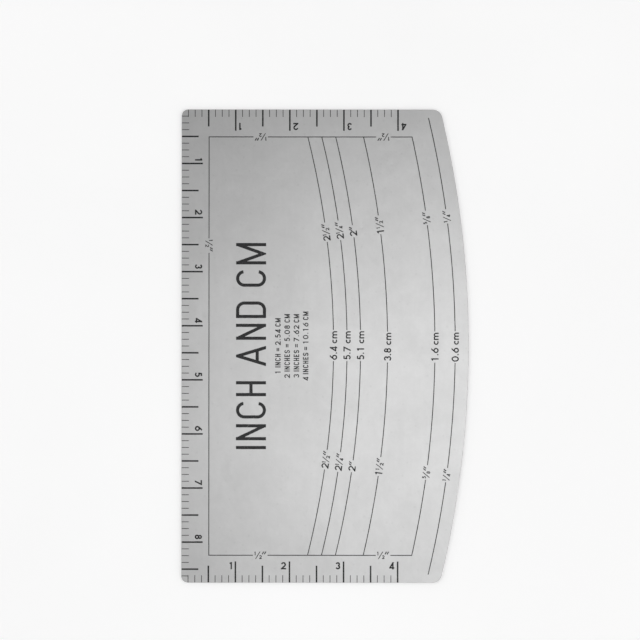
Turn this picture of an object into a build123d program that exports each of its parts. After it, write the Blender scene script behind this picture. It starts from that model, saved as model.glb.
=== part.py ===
from build123d import *
import math
import os

# A flat sheet gauge for measuring and pressing hems, with its scales and hem lines in ink.
# The sizes are in millimetres. The gauge lies on its back with the printed front up.
# X runs across it from the straight long edge to the curved edge, and Y along it to the top edge.
# The origin is under the middle of the sheet's own box, in the plane that it lies on.

# Plate
plate_length = 222.25
plate_width = 134.9
plate_thickness = 0.8
curved_edge_radius = 467.0
long_edge_corner_radius = 3.1
curved_edge_corner_radius = 4.5
edge_break = 0.15

# Ink
ink_thickness = 0.03

# Scales along the edges
inch_pitch = 25.4
divisions = 8
short_scale_end_room = 8.0
eighth_tick_length = 3.5
half_tick_length = 8.0
inch_tick_length = 10.0
eighth_tick_stroke = 0.3
main_tick_stroke = 0.74
numeral_height = 3.4
numeral_pen = 0.68
numeral_baseline = 6.3
long_numeral_to_tick = 1.35
short_numeral_to_tick = 1.6

# Half-inch line along the straight edges, with its outer side half an inch from them
frame_inset = 12.7
frame_stroke = 0.4
near_label_from_corner = 24.2
far_label_from_line_end = 13.45
long_edge_label_drop = 63.95

# Hem lines, by their distance from the curved edge
quarter_hem = 6.35
five_eighths_hem = 15.875
one_and_half_hem = 38.1
two_hem = 50.8
two_and_quarter_hem = 57.15
two_and_half_hem = 63.5
hem_stroke = 0.4
hem_line_span = 5.0
quarter_line_end_gap = 3.9

# Hem labels, by the distance of their middle from the middle of the gauge
quarter_label_rise = 61.0
quarter_label_drop = 60.5
five_eighths_label_rise = 60.3
five_eighths_label_drop = 59.3
one_and_half_label_rise = 57.0
one_and_half_label_drop = 56.5
two_label_rise = 54.0
two_label_drop = 56.4
two_and_quarter_label_rise = 54.4
two_and_quarter_label_drop = 54.4
two_and_half_label_rise = 53.5
two_and_half_label_drop = 53.3
outer_metric_drop = 0.4
inner_metric_rise = 0.3

# Lettering of the labels
label_height = 3.43
label_pen = 0.59
fraction_height = 1.75
fraction_pen = 0.37
slash_pen = 0.36
inch_mark_pen = 0.5
label_clearance = 0.55

# Lettering in the field between the half-inch line and the hem labels
large_height = 14.1
large_pen = 1.5
small_height = 2.6
small_pen = 0.45
small_line_pitch = 4.35

# Bare strips before the large lettering and before the small, as shares of the field's bare width
first_strip_share = 0.47
second_strip_share = 0.158

# Spaces in a row of lettering, as shares of its height
label_gap_share = 0.11
lettering_gap_share = 0.19
word_gap_share = 0.3

# Places in a label, from the middle of its slash, as shares of the label height
whole_figure_share = -0.857
numerator_share = -0.355
denominator_share = 0.37
inch_mark_share = 0.86
lone_mark_share = 0.67

# Characters. Each has half its width and its strokes, as shares of its height less the pen's.
# X is from the middle of the character and Y from its lowest stroke. A run joins points by
# straight strokes, an arc is a centre, a radius and two angles, a ring is a centre and two radii,
# and a disc a centre and a radius. A stroke that goes past the character's box is cut off there.
character_shares = {
    "0": (0.35, [("ring", 0, 0.5, 0.35, 0.5)]),
    "1": (0.32, [("run", (-0.27, 0.87), (0, 1), (0, -0.3))]),
    "2": (
        0.32,
        [
            ("arc", 0, 0.695, 0.305, 168, -47.8),
            ("run", (0.205, 0.469), (-0.31, 0), (0.6, 0)),
        ],
    ),
    "3": (
        0.32,
        [
            ("run", (-0.26, 0.858), (-0.07, 0.968)),
            ("arc", 0.05, 0.76, 0.24, 120, -90),
            ("arc", 0.05, 0.27, 0.27, 90, -120),
            ("run", (-0.085, 0.036), (-0.275, 0.146)),
        ],
    ),
    "4": (
        0.31,
        [
            ("run", (0.32, 1.2), (-0.31, 0.15), (0.6, 0.15)),
            ("run", (0.2, -0.3), (0.2, 1.3)),
        ],
    ),
    "5": (
        0.31,
        [
            ("run", (0.26, 1), (-0.16, 1), (-0.236, 0.5)),
            ("arc", -0.02, 0.305, 0.305, 138, -148),
        ],
    ),
    "6": (
        0.32,
        [
            ("ring", 0, 0.32, 0.32, 0.32),
            ("run", (0.302, 1.15), (-0.24, 0.5315)),
        ],
    ),
    "7": (0.31, [("run", (-0.6, 1), (0.28, 1), (-0.296, -0.2))]),
    "8": (
        0.3,
        [
            ("ring", 0, 0.765, 0.235, 0.235),
            ("ring", 0, 0.275, 0.275, 0.275),
        ],
    ),
    "9": (
        0.32,
        [
            ("ring", 0, 0.68, 0.32, 0.32),
            ("run", (-0.302, -0.15), (0.24, 0.4685)),
        ],
    ),
    ".": (0.04, [("disc", 0, 0.035, 0.115)]),
    "=": (
        0.25,
        [
            ("run", (-0.6, 0.33), (0.6, 0.33)),
            ("run", (-0.6, 0.67), (0.6, 0.67)),
        ],
    ),
    "slash": (0.36, [("run", (-0.43, -0.2), (0.43, 1.2))]),
    "inch": (
        0.29,
        [
            ("run", (-0.29, 0.66), (0.01, 1.2)),
            ("run", (0.04, 0.66), (0.34, 1.2)),
        ],
    ),
    "c": (0.234, [("arc", 0.066, 0.3, 0.3, 48, 312)]),
    "m": (
        0.5,
        [
            ("run", (-0.5, -0.3), (-0.5, 0.68)),
            ("arc", -0.25, 0.35, 0.25, 180, 0),
            ("run", (0, 0.35), (0, -0.3)),
            ("arc", 0.25, 0.35, 0.25, 180, 0),
            ("run", (0.5, 0.35), (0.5, -0.3)),
        ],
    ),
    "A": (
        0.33,
        [
            ("run", (-0.36, -0.2), (0, 1), (0.36, -0.2)),
            ("run", (-0.22, 0.27), (0.22, 0.27)),
        ],
    ),
    "C": (
        0.25,
        [
            ("arc", 0, 0.75, 0.25, 8, 180),
            ("run", (-0.25, 0.75), (-0.25, 0.25)),
            ("arc", 0, 0.25, 0.25, 180, 352),
        ],
    ),
    "D": (
        0.25,
        [
            ("run", (0, 1), (-0.25, 1), (-0.25, 0), (0, 0)),
            ("arc", 0, 0.75, 0.25, 90, 0),
            ("run", (0.25, 0.75), (0.25, 0.25)),
            ("arc", 0, 0.25, 0.25, 0, -90),
        ],
    ),
    "E": (
        0.18,
        [
            ("run", (0.6, 1), (-0.18, 1), (-0.18, 0), (0.6, 0)),
            ("run", (-0.18, 0.5), (0.2, 0.5)),
        ],
    ),
    "H": (
        0.22,
        [
            ("run", (-0.22, -0.3), (-0.22, 1.3)),
            ("run", (0.22, -0.3), (0.22, 1.3)),
            ("run", (-0.22, 0.5), (0.22, 0.5)),
        ],
    ),
    "I": (0, [("run", (0, -0.3), (0, 1.3))]),
    "M": (
        0.34,
        [
            ("run", (-0.34, -0.3), (-0.34, 1.3)),
            ("run", (0.34, -0.3), (0.34, 1.3)),
            ("run", (-0.412, 1.2), (0, 0.05), (0.412, 1.2)),
        ],
    ),
    "N": (
        0.24,
        [
            ("run", (-0.24, -0.3), (-0.24, 1.3)),
            ("run", (0.24, -0.3), (0.24, 1.3)),
            ("run", (-0.336, 1.2), (0.336, -0.2)),
        ],
    ),
    "S": (
        0.25,
        [
            ("arc", 0, 0.75, 0.25, 8, 270),
            ("arc", 0, 0.25, 0.25, 90, -172),
        ],
    ),
}

# Worked out from the sizes above
left = -plate_width / 2
top = plate_length / 2
arc_x = plate_width / 2 - curved_edge_radius
eighth = inch_pitch / divisions
long_scale_steps = int((plate_length - eighth_tick_stroke) / eighth)
top_edge_length = arc_x + math.sqrt(curved_edge_radius**2 - top**2) - left
short_scale_inches = int((top_edge_length - short_scale_end_room) / inch_pitch)
short_scale_steps = short_scale_inches * divisions
frame_x = left + frame_inset + frame_stroke / 2
frame_y = top - frame_inset - frame_stroke / 2
inner_frame_y = frame_y - frame_stroke / 2
outer_frame_y = frame_y + frame_stroke / 2
quarter_line_end_y = top - quarter_line_end_gap
frame_end_x = arc_x + math.sqrt((curved_edge_radius - five_eighths_hem) ** 2 - frame_y**2)
field_end_x = plate_width / 2 - two_and_half_hem - label_height / 2

# Places of each hem line's labels: the upper one, the metric one and the lower one
quarter_places = (quarter_label_rise, outer_metric_drop, quarter_label_drop)
five_eighths_places = (five_eighths_label_rise, outer_metric_drop, five_eighths_label_drop)
one_and_half_places = (one_and_half_label_rise, outer_metric_drop, one_and_half_label_drop)
two_places = (two_label_rise, -inner_metric_rise, two_label_drop)
two_and_quarter_places = (two_and_quarter_label_rise, -inner_metric_rise, two_and_quarter_label_drop)
two_and_half_places = (two_and_half_label_rise, -inner_metric_rise, two_and_half_label_drop)

# Hem lines: name, distance from the curved edge, labels and their places
hems = [
    ("quarter_inch", quarter_hem, ("", "1", "4"), "0.6 cm", quarter_places),
    ("five_eighths_inch", five_eighths_hem, ("", "5", "8"), "1.6 cm", five_eighths_places),
    ("one_and_half_inch", one_and_half_hem, ("1", "1", "2"), "3.8 cm", one_and_half_places),
    ("two_inch", two_hem, ("2", "", ""), "5.1 cm", two_places),
    ("two_and_quarter_inch", two_and_quarter_hem, ("2", "1", "4"), "5.7 cm", two_and_quarter_places),
    ("two_and_half_inch", two_and_half_hem, ("2", "1", "2"), "6.4 cm", two_and_half_places),
]


def stroke(points, pen):
    """An even stroke along straight runs, with mitred corners and square ends."""
    points = [Vector(*point) for point in points]
    steps = [(after - before).normalized() for before, after in zip(points, points[1:])]
    sides = [Vector(-step.Y, step.X) for step in steps]
    sides = [sides[0]] + sides + [sides[-1]]
    one_side = []
    other_side = []
    for point, before, after in zip(points, sides, sides[1:]):
        reach = (before + after) * (pen / 2 / (1 + before.dot(after)))
        one_side.append(point + reach)
        other_side.append(point - reach)
    return make_face(Polyline(*one_side, *reversed(other_side), close=True))


def bend(x, y, radius, start, end, pen):
    """An even stroke along an arc, with square ends."""
    outer = CenterArc((x, y), radius + pen / 2, start, end - start)
    inner = CenterArc((x, y), radius - pen / 2, start, end - start)
    ends = [Line(outer @ 0, inner @ 0), Line(outer @ 1, inner @ 1)]
    return make_face([outer, inner] + ends)


def ring(x, y, across, along, pen):
    """An even stroke round a circle or an oval."""
    outer = Ellipse(across + pen / 2, along + pen / 2)
    inner = Ellipse(across - pen / 2, along - pen / 2)
    return Pos(x, y) * (outer - inner)


def block(x_from, x_to, y_from, y_to):
    """A rectangle between two pairs of lines."""
    middle = Pos((x_from + x_to) / 2, (y_from + y_to) / 2)
    return middle * Rectangle(x_to - x_from, y_to - y_from)


def moved(faces, place):
    """Faces or solids carried to another place."""
    return [place * face for face in faces]


def drawn(kind, places, size, pen):
    """One stroke of a character, from its shares of a size."""
    if kind == "run":
        return stroke([(x * size, y * size) for x, y in places], pen)
    if kind == "arc":
        x, y, radius, start, end = places
        return bend(x * size, y * size, radius * size, start, end, pen)
    x, y, *radii = [place * size for place in places]
    if kind == "disc":
        return Pos(x, y) * Circle(*radii)
    return ring(x, y, *radii, pen)


def box_width(character, height, pen):
    """The width of a character's box."""
    half_width_share = character_shares[character][0]
    return 2 * half_width_share * (height - pen) + pen


def character_faces(character, height, pen):
    """A character that stands on its baseline, with its middle at zero."""
    strokes = character_shares[character][1]
    pieces = [drawn(kind, places, height - pen, pen) for kind, *places in strokes]
    half_width = box_width(character, height, pen) / 2
    box = block(-half_width, half_width, 0, height)
    return (Pos(0, pen / 2) * (Sketch() + pieces) & box).faces()


def row(text, height, pen, gap_share):
    """A row of characters with its middle at zero, and its width."""
    faces = []
    reach = 0
    for character in text:
        if character == " ":
            reach += word_gap_share * height
            continue
        width = box_width(character, height, pen)
        faces += moved(character_faces(character, height, pen), Pos(reach + width / 2, 0))
        reach += width + gap_share * height
    width = reach - gap_share * height
    return moved(faces, Pos(-width / 2, -height / 2)), width


def inch_label(whole, numerator, denominator):
    """A length in inches with its mark, its middle at zero, and its width."""
    figure = (label_height, label_pen)
    small = (fraction_height, fraction_pen)
    lift = label_height - fraction_height
    mark_share = inch_mark_share
    drawings = []
    if whole:
        drawings.append((whole, figure, whole_figure_share, 0))
    if denominator:
        drawings.append((numerator, small, numerator_share, lift))
        drawings.append(("slash", (label_height, slash_pen), 0, 0))
        drawings.append((denominator, small, denominator_share, 0))
    else:
        mark_share = whole_figure_share + lone_mark_share
    drawings.append(("inch", (label_height, inch_mark_pen), mark_share, 0))
    faces = []
    for character, style, place_share, height in drawings:
        place = Pos(place_share * label_height, height)
        faces += moved(character_faces(character, *style), place)
    box = Compound(faces).bounding_box()
    return moved(faces, Pos(-box.center().X, -label_height / 2)), box.size.X


def outline(inset):
    """The outline of the gauge, drawn in by a distance."""
    sheet = block(left + inset, plate_width, inset - top, top - inset)
    sheet = sheet & Pos(arc_x, 0) * Circle(curved_edge_radius - inset)
    corners = sheet.vertices().sort_by(Axis.X)
    sheet = fillet(corners[2:], curved_edge_corner_radius - inset)
    corners = sheet.vertices().sort_by(Axis.X)
    return fillet(corners[:2], long_edge_corner_radius - inset)


def plate():
    """The sheet, with both of its rims broken."""
    sheet = extrude(outline(0), plate_thickness)
    rims = sheet.faces().sort_by(Axis.Z)
    return fillet(rims[0].edges() + rims[-1].edges(), edge_break)


def inked(faces):
    """A layer of ink on some areas of the front."""
    solids = []
    for face in faces:
        solids += extrude(face, ink_thickness, clean=False).solids()
    return Compound(moved(solids, Pos(0, 0, plate_thickness)))


def tick_length(step):
    """The length of the tick at a number of eighths."""
    if step % divisions == 0:
        return inch_tick_length
    if 2 * step % divisions == 0:
        return half_tick_length
    return eighth_tick_length


def long_tick_length(step):
    """The same on the long edge, where the end ticks stop at those of the short edges."""
    from_end = min(step * eighth, plate_length - step * eighth)
    if from_end < eighth_tick_length:
        return eighth - eighth_tick_stroke / 2
    return tick_length(step)


def ticks(corner, way, steps, length_at):
    """The ticks of one edge, in areas for eighths, halves and inches."""
    groups = {"eighth_ticks": [], "half_ticks": [], "inch_ticks": []}
    for step in range(1, steps + 1):
        half = main_tick_stroke / 2
        group = "half_ticks" if step % divisions else "inch_ticks"
        if 2 * step % divisions:
            half = eighth_tick_stroke / 2
            group = "eighth_ticks"
        middle = way * step * eighth
        groups[group].append(corner * block(middle - half, middle + half, 0, length_at(step)))
    front = outline(edge_break)
    return {group: (Sketch() + marks & front).faces() for group, marks in groups.items()}


def numerals(corner, way, steps, to_tick):
    """The inch numerals of one edge, each just before its tick as it is read."""
    faces = []
    for step in range(divisions, steps + 1, divisions):
        figures, width = row(str(step // divisions), numeral_height, numeral_pen, label_gap_share)
        reach = Compound(figures).bounding_box().max.X
        middle = numeral_baseline + numeral_height / 2
        faces += moved(figures, corner * Pos(way * step * eighth - to_tick - reach, middle))
    return faces


def scale_nodes(edge, corner, way, steps, length_at, to_tick):
    """The nodes of one edge's scale."""
    nodes = {}
    for group, faces in ticks(corner, way, steps, length_at).items():
        nodes[edge + "_" + group] = inked(faces)
    nodes[edge + "_numerals"] = inked(numerals(corner, way, steps, to_tick))
    return nodes


def half_inch_places():
    """The places of the labels on the half-inch line."""
    near = frame_x + near_label_from_corner
    far = frame_end_x - far_label_from_line_end
    return [
        Pos(near, frame_y) * Rot(0, 0, 180),
        Pos(far, frame_y) * Rot(0, 0, 180),
        Pos(near, -frame_y),
        Pos(far, -frame_y),
        Pos(frame_x, top - long_edge_label_drop) * Rot(0, 0, -90),
    ]


def half_inch_nodes():
    """The line half an inch inside the straight edges, and its labels."""
    faces, width = inch_label("", "1", "2")
    gap = Rectangle(width + 2 * label_clearance, label_height)
    half = frame_stroke / 2
    disc = Pos(arc_x, 0) * Circle(curved_edge_radius - five_eighths_hem + hem_stroke / 2)
    sheet = block(frame_x - half, plate_width, -outer_frame_y, outer_frame_y)
    window = block(frame_x + half, plate_width, -inner_frame_y, inner_frame_y)
    line = (sheet - window) & disc
    labels = []
    for place in half_inch_places():
        line = line - place * gap
        labels += moved(faces, place)
    return {"half_inch_line": inked(line.faces()), "half_inch_labels": inked(labels)}


def spans(radius, start, end):
    """An arc about the middle of the curved edge, in spans that a mesh follows closely."""
    count = math.ceil(math.radians(end - start) * radius / hem_line_span)
    turn = (end - start) / count
    return [CenterArc((arc_x, 0), radius, start + turn * number, turn) for number in range(count)]


def dash(radii, starts, ends):
    """A stretch of a hem line, from the angles at which its inner and outer side start and end."""
    inner, outer = [spans(*side) for side in zip(radii, starts, ends)]
    tips = [Line(inner[0] @ 0, outer[0] @ 0), Line(inner[-1] @ 1, outer[-1] @ 1)]
    return make_face(inner + outer + tips)


def on_hem(hem, rise):
    """The radius of a hem line, and the angle on it at a height."""
    radius = curved_edge_radius - hem
    return radius, math.degrees(math.asin(rise / radius))


def on_line(faces, hem, rise):
    """A label turned to follow its hem line."""
    radius, angle = on_hem(hem, rise)
    place = Pos(arc_x, 0) * Rot(0, 0, angle) * Pos(radius, 0) * Rot(0, 0, 90)
    return moved(faces, place)


def hem_line(hem, end_y, labels):
    """A hem line between two heights, with a gap at each of its labels."""
    radii = [curved_edge_radius - hem - hem_stroke / 2, curved_edge_radius - hem + hem_stroke / 2]
    last = [math.degrees(math.asin(end_y / radius)) for radius in radii]
    starts = [[-angle for angle in last]]
    ends = []
    for rise, width in sorted(labels):
        radius, angle = on_hem(hem, rise)
        half_gap = math.degrees((width / 2 + label_clearance) / radius)
        ends.append([angle - half_gap] * 2)
        starts.append([angle + half_gap] * 2)
    ends.append(last)
    return [dash(radii, *tips) for tips in zip(starts, ends)]


def hem_nodes():
    """The hem lines and their rows of labels."""
    nodes = {}
    upper = []
    middle = []
    lower = []
    for name, hem, figures, centimetres, places in hems:
        rise, metric_drop, drop = places
        end_y = quarter_line_end_y if hem == quarter_hem else inner_frame_y
        inches, inches_width = inch_label(*figures)
        metric, metric_width = row(centimetres, label_height, label_pen, label_gap_share)
        labels = [(rise, inches_width), (-metric_drop, metric_width), (-drop, inches_width)]
        nodes["hem_line_" + name] = inked(hem_line(hem, end_y, labels))
        upper += on_line(inches, hem, rise)
        middle += on_line(metric, hem, -metric_drop)
        lower += on_line(inches, hem, -drop)
    nodes["upper_inch_labels"] = inked(upper)
    nodes["centimetre_labels"] = inked(middle)
    nodes["lower_inch_labels"] = inked(lower)
    return nodes


def lettering_nodes():
    """Plain lettering of the units, and a short table of inches in centimetres."""
    lines = ["1 INCH = 2.54 CM", "2 INCHES = 5.08 CM", "3 INCHES = 7.62 CM", "4 INCHES = 10.16 CM"]
    table_width = (len(lines) - 1) * small_line_pitch + small_height
    bare_width = field_end_x - frame_x - large_height - table_width
    large, length = row("INCH AND CM", large_height, large_pen, lettering_gap_share)
    x = frame_x + bare_width * first_strip_share + large_height / 2
    large = moved(large, Pos(x, 0) * Rot(0, 0, 90))
    x += large_height / 2 + bare_width * second_strip_share + small_height / 2
    table = []
    for line in lines:
        small, length = row(line, small_height, small_pen, lettering_gap_share)
        table += moved(small, Pos(x, 0) * Rot(0, 0, 90))
        x += small_line_pitch
    return {"unit_lettering": inked(large), "conversion_table": inked(table)}


long_corner = Pos(left, top) * Rot(0, 0, -90)
top_corner = Pos(left, top) * Rot(0, 0, 180)
bottom_corner = Pos(left, -top)

nodes = {"plate": plate()}
long_scale = (long_scale_steps, long_tick_length, long_numeral_to_tick)
short_scale = (short_scale_steps, tick_length, short_numeral_to_tick)
nodes.update(scale_nodes("long_edge", long_corner, 1, *long_scale))
nodes.update(scale_nodes("top_edge", top_corner, -1, *short_scale))
nodes.update(scale_nodes("bottom_edge", bottom_corner, 1, *short_scale))
nodes.update(half_inch_nodes())
nodes.update(hem_nodes())
nodes.update(lettering_nodes())

os.makedirs("parts", exist_ok=True)
for name, node in nodes.items():
    export_step(node, "parts/" + name + ".step")
    print(name, len(node.solids()), "solids")
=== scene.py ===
# %% [markdown]
# # A sewing gauge in printed sheet aluminium
#
# The real object is one flat sheet of soft grey metal, a little thicker than a thumbnail, with
# black print on its front. Its straight edges carry inch scales, and hem lines follow its
# curved edge. Nothing on it moves. Such a plain thing looks real through three things: a metal
# finish that carries its own small history, a rim that is never a knife edge, and light that
# gives the metal something to reflect. The lesson takes them in that order.

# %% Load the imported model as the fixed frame
import math

import bmesh
import bpy
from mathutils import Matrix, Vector


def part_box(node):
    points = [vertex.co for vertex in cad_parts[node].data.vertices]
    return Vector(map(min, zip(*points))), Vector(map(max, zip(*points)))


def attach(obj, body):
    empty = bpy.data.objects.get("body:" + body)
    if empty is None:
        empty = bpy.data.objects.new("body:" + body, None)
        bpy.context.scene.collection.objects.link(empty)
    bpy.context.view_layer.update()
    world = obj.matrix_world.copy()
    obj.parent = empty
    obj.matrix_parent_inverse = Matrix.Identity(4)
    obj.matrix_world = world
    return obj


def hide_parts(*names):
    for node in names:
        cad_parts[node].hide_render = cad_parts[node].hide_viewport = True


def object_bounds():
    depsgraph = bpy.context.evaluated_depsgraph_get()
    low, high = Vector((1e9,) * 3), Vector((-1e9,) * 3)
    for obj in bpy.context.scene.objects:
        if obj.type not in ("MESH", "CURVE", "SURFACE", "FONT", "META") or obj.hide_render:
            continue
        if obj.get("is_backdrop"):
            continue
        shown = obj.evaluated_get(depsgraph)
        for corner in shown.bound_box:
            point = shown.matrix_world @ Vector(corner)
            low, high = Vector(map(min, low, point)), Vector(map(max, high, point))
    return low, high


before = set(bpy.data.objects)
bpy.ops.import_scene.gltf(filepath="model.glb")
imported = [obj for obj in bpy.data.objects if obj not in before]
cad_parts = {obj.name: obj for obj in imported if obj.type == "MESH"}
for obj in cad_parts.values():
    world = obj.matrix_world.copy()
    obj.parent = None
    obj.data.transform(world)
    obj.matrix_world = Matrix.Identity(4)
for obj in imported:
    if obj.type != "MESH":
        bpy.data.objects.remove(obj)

cad_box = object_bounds()
low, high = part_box("plate")
print("nodes", len(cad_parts), "sheet in mm", [round(side * 1000, 2) for side in high - low])

# %% [markdown]
# ## The camera
#
# The photograph looks straight at the printed front, so the camera hangs straight above it
# with its top towards +Y. One printed inch is 54.09 pixels long in the photograph. That gives
# the width of the picture where it meets the sheet, and the height of the camera then gives
# the lens. The camera could also be fitted by eye, but a printed scale in the picture is a
# better ruler than any eye. The print was lying turned by a twentieth of a degree, and so is
# the camera.

# %% Hang the camera over the sheet
photo_side_px = 640
inch_px = 54.09
long_edge_px = 181.5
top_edge_px = 109.5
inch = 0.0254
camera_height = 0.8
camera_turn = math.radians(0.05)

pixel = inch / inch_px
middle_px = photo_side_px / 2
camera_data = bpy.data.cameras.new("camera")
camera_data.lens = camera_data.sensor_width * camera_height / (photo_side_px * pixel)
camera = bpy.data.objects.new("camera", camera_data)
camera.location.x = low.x + (middle_px - long_edge_px) * pixel
camera.location.y = high.y - (middle_px - top_edge_px) * pixel
camera.location.z = high.z + camera_height
camera.rotation_euler.z = camera_turn
bpy.context.scene.collection.objects.link(camera)
bpy.context.scene.camera = camera
bpy.context.scene.view_settings.view_transform = "Standard"
print("lens", round(camera_data.lens, 1), "mm")

# %% [markdown]
# ## A bench of small helpers
#
# The materials below are made of many nodes, and most lines of a node script only say which
# socket gets what. They could be written out one by one, but one helper does it all: it adds a
# node and fills its inputs, and an input that is given another node's socket is linked to it.
# Written so, a node chain reads from the inside out, like a sum.

# %% Helpers for nodes
def put(tree, kind, values=None, **options):
    """Adds a node, sets its options, and fills its inputs with numbers, colours or links."""
    node = tree.nodes.new(kind)
    for option, value in options.items():
        setattr(node, option, value)
    for name, value in (values or {}).items():
        if isinstance(value, bpy.types.NodeSocket):
            tree.links.new(value, node.inputs[name])
        else:
            node.inputs[name].default_value = value
    return node


def maths(tree, operation, first, second):
    """The result of one sum."""
    return put(tree, "ShaderNodeMath", {0: first, 1: second}, operation=operation).outputs[0]


def ramp(tree, value, start, end, low_result=0.0, high_result=1.0):
    """A value that runs from one result to the other between a start and an end."""
    limits = {"From Min": start, "From Max": end, "To Min": low_result, "To Max": high_result}
    node = put(tree, "ShaderNodeMapRange", {"Value": value, **limits}, interpolation_type="SMOOTHSTEP")
    return node.outputs["Result"]


def noise(tree, place, detail=2.0, rough=0.5, distortion=0.0):
    """Soft noise with features about one unit across."""
    look = {"Detail": detail, "Roughness": rough, "Distortion": distortion}
    return put(tree, "ShaderNodeTexNoise", {"Vector": place, "Scale": 1.0, **look}).outputs["Fac"]


# %% Helpers for groups
def start_group(name, inputs, outputs):
    """An empty shader group with number sockets, and its two inner ends."""
    group = bpy.data.node_groups.new(name, "ShaderNodeTree")
    for label, value in inputs.items():
        socket = group.interface.new_socket(label, in_out="INPUT", socket_type="NodeSocketFloat")
        socket.default_value = value
    for label in outputs:
        group.interface.new_socket(label, in_out="OUTPUT", socket_type="NodeSocketFloat")
    entry = group.nodes.new("NodeGroupInput").outputs
    result = group.nodes.new("NodeGroupOutput").inputs
    return group, entry, result


def use(tree, group, output, **values):
    """One output of a group that is placed with its own values."""
    return put(tree, "ShaderNodeGroup", values, node_tree=group).outputs[output]


# %% [markdown]
# ## Streaks, blotches, hairlines and dents
#
# Rolled sheet has faint streaks along the way it went through the rollers. Hands and cloth
# leave soft blotches on it, and pins and shears leave hairline scratches and small dents.
# These marks could be painted as a picture, but a picture blurs when the camera comes near.
# So streaks, blotches and hairlines are a noise that is stretched, softened or cut at a
# threshold, and a dent lies in some of the cells of a scattered grid. The metal uses all four,
# and the ink and the floor use some of them at sizes of their own. So each one is a node group
# with its sizes as inputs, built once. All of them read Object coordinates, which are metres
# here, so a size of 0.001 is a real millimetre on the sheet.

# %% A stretched place: sizes across and along, and a turn in radians
def stretched_place(group, across, along, turn):
    """Object coordinates turned about Z and counted in features across and along."""
    place = put(group, "ShaderNodeTexCoord").outputs["Object"]
    rotation = {"Vector": place, "Angle": turn}
    turned = put(group, "ShaderNodeVectorRotate", rotation, rotation_type="Z_AXIS").outputs[0]
    per_across = maths(group, "DIVIDE", 1.0, across)
    per_along = maths(group, "DIVIDE", 1.0, along)
    counts = put(group, "ShaderNodeCombineXYZ", {"X": per_across, "Y": per_along, "Z": per_across})
    factors = {0: turned, 1: counts.outputs[0]}
    return put(group, "ShaderNodeVectorMath", factors, operation="MULTIPLY").outputs[0]


# %% Group: streaks of rolled sheet
streaks, entry, result = start_group("streaks", {"Across": 0.001, "Along": 0.05}, ["Streak"])
place = stretched_place(streaks, entry["Across"], entry["Along"], turn=0.0)
streaks.links.new(noise(streaks, place, detail=3.0, rough=0.6), result["Streak"])

# %% Group: soft blotches
blotches, entry, result = start_group("blotches", {"Size": 0.04, "Start": 0.4, "End": 0.7}, ["Blotch"])
place = stretched_place(blotches, entry["Size"], entry["Size"], turn=0.6)
cloud = noise(blotches, place, detail=4.0, rough=0.55, distortion=0.6)
blotches.links.new(ramp(blotches, cloud, entry["Start"], entry["End"]), result["Blotch"])

# %% Group: hairline scratches in one direction, in patches
scratch_softness = 0.05
patch_start = 0.5
patch_end = 0.62

sizes = {"Across": 0.0002, "Along": 0.04, "Turn": 0.0, "Threshold": 0.7}
hairlines, entry, result = start_group("hairlines", sizes, ["Scratch"])
place = stretched_place(hairlines, entry["Across"], entry["Along"], entry["Turn"])
lines = noise(hairlines, place, detail=0.0)
cut_end = maths(hairlines, "ADD", entry["Threshold"], scratch_softness)
sharp = ramp(hairlines, lines, entry["Threshold"], cut_end)
patch_place = stretched_place(hairlines, entry["Along"], entry["Along"], entry["Turn"])
patches = ramp(hairlines, noise(hairlines, patch_place), patch_start, patch_end)
hairlines.links.new(maths(hairlines, "MULTIPLY", sharp, patches), result["Scratch"])

# %% Group: small dents, one in some cells of a scattered grid
dents, entry, result = start_group("dents", {"Spacing": 0.008, "Size": 0.0008, "Share": 0.5}, ["Dent"])
place = stretched_place(dents, entry["Spacing"], entry["Spacing"], turn=0.3)
grid = {"Vector": place, "Scale": 1.0}
cells = put(dents, "ShaderNodeTexVoronoi", grid, voronoi_dimensions="2D").outputs
size_share = maths(dents, "DIVIDE", entry["Size"], entry["Spacing"])
from_middle = maths(dents, "DIVIDE", cells["Distance"], size_share)
hollow = ramp(dents, from_middle, 0.0, 1.0, low_result=1.0, high_result=0.0)
# A cell's colour is random, so the share decides how many of the cells get a dent.
chosen = maths(dents, "LESS_THAN", cells["Color"], entry["Share"])
dents.links.new(maths(dents, "MULTIPLY", hollow, chosen), result["Dent"])
print("groups", [group.name for group in bpy.data.node_groups])

# %% [markdown]
# ## The metal
#
# Bare aluminium shows only what it reflects, through a tint and a roughness. A mirror-smooth
# value would show the lamps as hard squares, and a very rough one would go flat as paint.
# Satin sheet lies between. Its marks could all change the roughness, but under a soft lamp a
# small change of roughness already looks like a cloud. So the streaks, blotches, fine specks
# and dark nicks change mostly the tone, and the roughness stays nearly even. The scratches,
# the dents and a slow waviness catch the light in the bump. On the rim, where the sheet was
# cut and tumbled, the metal is duller. Its tone is also darker, partly for that dull cut edge
# and partly as painted shade for the dark line along the edge. The rim's mask is an attribute
# that the sheet's own mesh carries.

# %% Helpers for materials
# The Mix node has sockets of one name for each kind of value, so its colours go by number.
mix_factor = 0
mix_first_colour = 6
mix_second_colour = 7
mix_colour_result = 2


def mixed(tree, factor, first, second):
    """A colour between two others."""
    values = {mix_factor: factor, mix_first_colour: first, mix_second_colour: second}
    return put(tree, "ShaderNodeMix", values, data_type="RGBA").outputs[mix_colour_result]


def with_marks(tree, value, marks):
    """A value to which each mark adds its own strength where it lies."""
    for mark, strength in marks:
        value = maths(tree, "ADD", value, maths(tree, "MULTIPLY", mark, strength))
    return value


def new_material(name):
    """A material with a bare Principled shader, its tree and the shader."""
    material = bpy.data.materials.new(name)
    material.use_nodes = True
    return material, material.node_tree, material.node_tree.nodes["Principled BSDF"]


# %% Satin aluminium: where its marks lie
aluminium, tree, shader = new_material("satin_aluminium")
shader.inputs["Metallic"].default_value = 1.0

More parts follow.
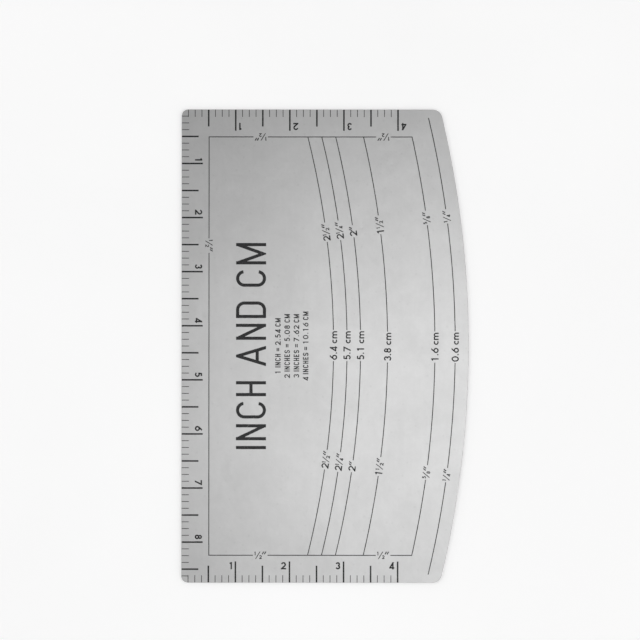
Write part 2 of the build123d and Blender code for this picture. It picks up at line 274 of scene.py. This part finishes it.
fine = use(tree, streaks, "Streak", Across=0.00014, Along=0.012)
broad = use(tree, streaks, "Streak", Across=0.0025, Along=0.09)
smudge = use(tree, blotches, "Blotch", Size=0.035, Start=0.35, End=0.7)
patch = use(tree, blotches, "Blotch", Size=0.006, Start=0.3, End=0.75)
speck = use(tree, blotches, "Blotch", Size=0.0018, Start=0.3, End=0.75)
wave = use(tree, blotches, "Blotch", Size=0.028, Start=0.15, End=0.85)
dent = use(tree, dents, "Dent", Spacing=0.011, Size=0.0011, Share=0.45)
nick = use(tree, dents, "Dent", Spacing=0.006, Size=0.0008, Share=0.4)
pin_line = use(tree, hairlines, "Scratch", Across=0.00016, Along=0.02, Turn=0.5, Threshold=0.74)
shear_line = use(tree, hairlines, "Scratch", Across=0.0002, Along=0.03, Turn=-1.1, Threshold=0.75)
scratch = maths(tree, "ADD", pin_line, shear_line)
rim = put(tree, "ShaderNodeAttribute", attribute_name="rim").outputs["Fac"]

# %% Satin aluminium: tone
metal_dark = (0.54, 0.54, 0.54, 1.0)
metal_light = (0.70, 0.70, 0.70, 1.0)
plain_tone = 0.3

brighter_marks = [(broad, 0.12), (fine, 0.15), (patch, 0.1), (speck, 0.1)]
# The rim's darker tone is partly the dull cut edge and partly painted shade for the dark line along the
# edge.
darker_marks_and_rim_shade = [(smudge, -0.1), (nick, -0.22), (rim, -0.5)]
tone = with_marks(tree, plain_tone, brighter_marks + darker_marks_and_rim_shade)
tree.links.new(mixed(tree, tone, metal_dark, metal_light), shader.inputs["Base Color"])

# %% Satin aluminium: roughness
streak_start = 0.2
streak_end = 0.8
smooth_streak = 0.39
rough_streak = 0.41

streaked = ramp(tree, fine, streak_start, streak_end, smooth_streak, rough_streak)
roughness_marks = [(smudge, 0.01), (patch, -0.006), (scratch, -0.06), (rim, 0.1)]
tree.links.new(with_marks(tree, streaked, roughness_marks), shader.inputs["Roughness"])

# %% Satin aluminium: relief
streak_height = 0.000001
scratch_depth = 0.000005
dent_depth = 0.000014
wave_height = 0.00006

relief = [(fine, streak_height), (scratch, -scratch_depth), (dent, -dent_depth), (wave, wave_height)]
height = with_marks(tree, 0.0, relief)
bump = put(tree, "ShaderNodeBump", {"Height": height, "Distance": 1.0, "Strength": 1.0})
tree.links.new(bump.outputs["Normal"], shader.inputs["Normal"])
print("nodes in the metal", len(tree.nodes))

# %% [markdown]
# ## The ink
#
# Screen ink on metal is nearly black and a little glossy, thin in places, with pinholes and
# worn hairlines where the metal shows through. The print could be a picture laid on the sheet,
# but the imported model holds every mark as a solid, exact in shape and place and sharp at any
# distance. So the solids stay, and only their material changes. A pinhole is a spot where the
# shader turns from ink to metal, so one mask drives both the colour and the metallic value.

# %% Material: worn black ink
ink_dark = (0.006, 0.006, 0.007, 1.0)
ink_thin = (0.022, 0.022, 0.023, 1.0)
bare_metal = (0.62, 0.62, 0.62, 1.0)
worn_share = 0.5
smooth_ink = 0.36
rough_ink = 0.52

ink, tree, shader = new_material("black_ink")
cover = use(tree, blotches, "Blotch", Size=0.0016, Start=0.35, End=0.75)
pinhole = use(tree, blotches, "Blotch", Size=0.00025, Start=0.70, End=0.76)
worn = use(tree, hairlines, "Scratch", Across=0.0001, Along=0.012, Turn=0.9, Threshold=0.76)
bare = maths(tree, "MAXIMUM", pinhole, maths(tree, "MULTIPLY", worn, worn_share))
ink_colour = mixed(tree, cover, ink_dark, ink_thin)
tree.links.new(mixed(tree, bare, ink_colour, bare_metal), shader.inputs["Base Color"])
tree.links.new(bare, shader.inputs["Metallic"])
tree.links.new(ramp(tree, cover, 0.0, 1.0, smooth_ink, rough_ink), shader.inputs["Roughness"])
shader.inputs["Specular IOR Level"].default_value = 0.4

# %% Ink on every printed mark
inked_nodes = [node for name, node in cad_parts.items() if name != "plate"]
for node in inked_nodes:
    node.material_slots[0].material = ink
print("inked nodes", len(inked_nodes))

# %% [markdown]
# ## The sheet
#
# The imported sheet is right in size, but its rim is coarse, so it gets a finer twin. A block
# could be cut to the outline, but a cut leaves uneven faces. So the outline is made the way a
# compass would draw it: one point is spun about each centre, and each spin leaves an arc.
# Straight stretches join the arcs, the loop is filled, the face is extruded to the sheet's
# thickness, and the two rims are bevelled round. The curved edge and its corners meet where
# the small circle touches the large one inside, so the corner's centre is the corner radius
# nearer to the large circle's centre.

# %% Sizes of the outline
# The curved corners end the curved edge, and the square corners end the long edge.
curved_edge_radius = 0.467
curved_corner_radius = 0.0045
square_corner_radius = 0.0031

# The origin is midway between the long edge and the curved edge's widest point.
curved_edge_reach = -low.x
curved_edge_centre = Vector((curved_edge_reach - curved_edge_radius, 0.0, low.z))
curved_corner_y = high.y - curved_corner_radius
to_curved_corner = curved_edge_radius - curved_corner_radius
curved_corner_x = curved_edge_centre.x + math.sqrt(to_curved_corner**2 - curved_corner_y**2)
meeting_angle = math.atan2(curved_corner_y, curved_corner_x - curved_edge_centre.x)
square_corner_x = low.x + square_corner_radius
square_corner_y = high.y - square_corner_radius
print("the curved edge meets its corners at", round(math.degrees(meeting_angle), 2), "degrees")


# %% A helper that spins an arc
def spin_arc(bm, centre, radius, start, end, steps):
    """An arc of edges, made by spinning one point, and the points at its two ends."""
    direction = Vector((math.cos(start), math.sin(start), 0.0))
    first = bm.verts.new(Vector(centre) + direction * radius)
    spun = bmesh.ops.spin(bm, geom=[first], cent=centre, axis=(0, 0, 1), angle=end - start, steps=steps)
    last = [item for item in spun["geom_last"] if isinstance(item, bmesh.types.BMVert)][0]
    return first, last


# %% Spin the edge and its four corners, anticlockwise
long_arc_steps = 220
corner_steps = 14
quarter = math.radians(90)
closing_angle = 4 * quarter - meeting_angle
top_curved = (curved_corner_x, curved_corner_y, low.z)
top_square = (square_corner_x, square_corner_y, low.z)
bottom_square = (square_corner_x, -square_corner_y, low.z)
bottom_curved = (curved_corner_x, -curved_corner_y, low.z)

bm = bmesh.new()
arcs = [
    (curved_edge_centre, curved_edge_radius, -meeting_angle, meeting_angle, long_arc_steps),
    (top_curved, curved_corner_radius, meeting_angle, quarter, corner_steps),
    (top_square, square_corner_radius, quarter, 2 * quarter, corner_steps),
    (bottom_square, square_corner_radius, 2 * quarter, 3 * quarter, corner_steps),
    (bottom_curved, curved_corner_radius, 3 * quarter, closing_angle, corner_steps),
]
starts, ends = zip(*[spin_arc(bm, *arc) for arc in arcs])
print("arcs", len(arcs), "points on them", len(bm.verts))

# %% Join the arcs into one loop
edge_break = 0.00015
merge_distance = edge_break / 100

for end, next_start in zip(ends, starts[1:] + starts[:1]):
    bm.edges.new((end, next_start))
# Where one arc runs right into the next, their two end points become one here.
bmesh.ops.remove_doubles(bm, verts=bm.verts[:], dist=merge_distance)
print("points in the outline", len(bm.verts))

# %% Fill, thicken and round the rims
thickness = high.z - low.z
rim_segments = 4

bmesh.ops.edgeloop_fill(bm, edges=bm.edges[:])
grown = bmesh.ops.extrude_face_region(bm, geom=bm.faces[:])
lifted = [item for item in grown["geom"] if isinstance(item, bmesh.types.BMVert)]
bmesh.ops.translate(bm, verts=lifted, vec=(0, 0, thickness))
bmesh.ops.recalc_face_normals(bm, faces=bm.faces[:])
level_edges = [edge for edge in bm.edges if abs(edge.verts[0].co.z - edge.verts[1].co.z) < edge_break]
bmesh.ops.bevel(bm, geom=level_edges, offset=edge_break, segments=rim_segments, profile=0.5,
                affect="EDGES", material=-1, clamp_overlap=True)
print("sheet closed", all(edge.is_manifold for edge in bm.edges), "faces", len(bm.faces))

# %% Mark the rim and finish the sheet
# The rim is every face that isn't level, and only the rim is shaded smooth.
level_enough = 0.999
rim_layer = bm.faces.layers.float.new("rim")
for face in bm.faces:
    on_rim = abs(face.normal.z) < level_enough
    face[rim_layer] = float(on_rim)
    face.smooth = on_rim

sheet_mesh = bpy.data.meshes.new("sheet")
bm.to_mesh(sheet_mesh)
bm.free()
sheet_mesh.materials.append(aluminium)
sheet = bpy.data.objects.new("aluminium_sheet", sheet_mesh)
bpy.context.scene.collection.objects.link(sheet)
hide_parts("plate")
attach(sheet, "root")
print("faces on the rim", sum(face.use_smooth for face in sheet_mesh.polygons))

# %% [markdown]
# ## The floor
#
# The gauge lies on a plain pale surface. Paper or painted board would do, and its grain is
# too fine to matter here, so the floor is one wide square with a faint unevenness of tone.
# The photograph's ground is nearly white. It could be reached with more light, but that would
# burn out the metal, so the floor gets its last bit of white only in rays from the camera and
# in reflections. Far out, where the side lamps would light it unevenly, its own tone fades and
# this white takes over, so that the horizon is even in the low views.

# %% Floor: one wide square
# The gap keeps the floor out of the plane of the sheet's back.
floor_side = 8.0
floor_gap = 0.00002

bm = bmesh.new()
bmesh.ops.create_grid(bm, x_segments=1, y_segments=1, size=floor_side / 2)
bmesh.ops.translate(bm, verts=bm.verts[:], vec=(0, 0, low.z - floor_gap))
floor_mesh = bpy.data.meshes.new("floor")
bm.to_mesh(floor_mesh)
bm.free()
floor = bpy.data.objects.new("floor", floor_mesh)
bpy.context.scene.collection.objects.link(floor)
floor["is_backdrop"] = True
print("floor", floor_side, "m wide,", round(floor_gap * 1000, 3), "mm under the sheet")

# %% Floor: pale board that turns to white far out
near_floor = 0.6
far_floor = 1.6
board_dark = (0.88, 0.88, 0.88, 1.0)
board_light = (0.92, 0.92, 0.92, 1.0)
far_tone = (0.25, 0.25, 0.25, 1.0)

board, tree, shader = new_material("pale_board")
unevenness = use(tree, blotches, "Blotch", Size=0.3, Start=0.2, End=0.8)
board_colour = mixed(tree, unevenness, board_dark, board_light)
place = put(tree, "ShaderNodeTexCoord").outputs["Object"]
distance = put(tree, "ShaderNodeVectorMath", {0: place}, operation="LENGTH").outputs["Value"]
far = ramp(tree, distance, near_floor, far_floor)
tree.links.new(mixed(tree, far, board_colour, far_tone), shader.inputs["Base Color"])
shader.inputs["Roughness"].default_value = 0.9
shader.inputs["Specular IOR Level"].default_value = 0.2

# %% Floor: the white that only the camera and reflections see
near_lift = 0.21
far_lift = 0.71

path = put(tree, "ShaderNodeLightPath").outputs
seen = maths(tree, "ADD", path["Is Camera Ray"], path["Is Glossy Ray"])
seen = maths(tree, "ADD", seen, path["Is Transmission Ray"])
lift = ramp(tree, far, 0.0, 1.0, near_lift, far_lift)
tree.links.new(maths(tree, "MULTIPLY", seen, lift), shader.inputs["Emission Color"])
shader.inputs["Emission Strength"].default_value = 1.0
floor_mesh.materials.append(board)
print("nodes in the floor's material", len(tree.nodes))

# %% [markdown]
# ## The light
#
# A flat metal sheet shows a blurred picture of whatever hangs over it. The photograph's sheet
# is darkest at its upper left and brightest at its right, a little below the middle. So one
# soft lamp hangs high over it, off to the right and a little towards the picture's lower side,
# and the ceiling round the lamp is dark. The tone could also be painted on the metal, but it
# would stay put when the view or the light changes, which real metal doesn't do.
#
# The walls of the room are pale, and two side lamps make up the plain level. Seen from low
# down, the metal would mirror these two on top of the walls and burn out to white, so they are
# kept out of its reflections, which is what a black flag does in a studio. Two dim panels,
# lower and nearer, give it a soft sheen there instead. The brightness of a lamp's face is
# chosen first, and its power follows from its size.

# %% The room: a dark ceiling and pale walls
ceiling_brightness = 0.21
wall_brightness = 0.9
wall_top = 0.45
ceiling_start = 0.8
white = (1.0, 1.0, 1.0, 1.0)

world = bpy.data.worlds.new("studio")
world.use_nodes = True
bpy.context.scene.world = world
tree = world.node_tree
# In a world, Generated is the direction of the ray, and its Z is 1 straight up.
direction = put(tree, "ShaderNodeTexCoord").outputs["Generated"]
up = put(tree, "ShaderNodeSeparateXYZ", {"Vector": direction}).outputs["Z"]
room = ramp(tree, up, wall_top, ceiling_start, wall_brightness, ceiling_brightness)
tree.links.new(room, tree.nodes["Background"].inputs["Strength"])
tree.nodes["Background"].inputs["Color"].default_value = white
print("walls", wall_brightness, "ceiling", ceiling_brightness)


# %% The lamps
def softbox(name, place, size, brightness, mirrored):
    """A square lamp that faces the gauge, and that the metal may mirror or not."""
    lamp = bpy.data.lights.new(name, "AREA")
    lamp.size = size
    lamp.energy = brightness * math.pi * size**2
    holder = bpy.data.objects.new(name, lamp)
    holder.location = place
    holder.rotation_euler = (-Vector(place)).to_track_quat("-Z", "Y").to_euler()
    holder.visible_camera = False
    holder.visible_glossy = mirrored
    bpy.context.scene.collection.objects.link(holder)
    return holder


lamps = [
    softbox("overhead", place=(0.135, -0.1, 1.05), size=0.5, brightness=2.15, mirrored=True),
    softbox("right_side", place=(1.7, -0.8, 1.1), size=2.0, brightness=0.75, mirrored=False),
    softbox("left_side", place=(-1.8, 0.6, 1.1), size=2.0, brightness=0.75, mirrored=False),
    softbox("right_sheen", place=(1.4, -0.7, 0.62), size=1.1, brightness=0.5, mirrored=True),
    softbox("left_sheen", place=(-1.45, 0.5, 0.62), size=1.1, brightness=0.5, mirrored=True),
]
print("lamps in watts", {lamp.name: round(lamp.data.energy, 2) for lamp in lamps})

# %% [markdown]
# ## Close the scene
#
# The dressed gauge has to keep the imported model's size, so both boxes are measured and their
# sizes printed one after the other.

# %% Print the sizes of both boxes
boxes = {"cad": cad_box, "scene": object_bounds()}
sizes = {name: [list(corner) for corner in box] for name, box in boxes.items()}
for name, box in boxes.items():
    print(name, "size in mm", [round(side * 1000, 3) for side in box[1] - box[0]])
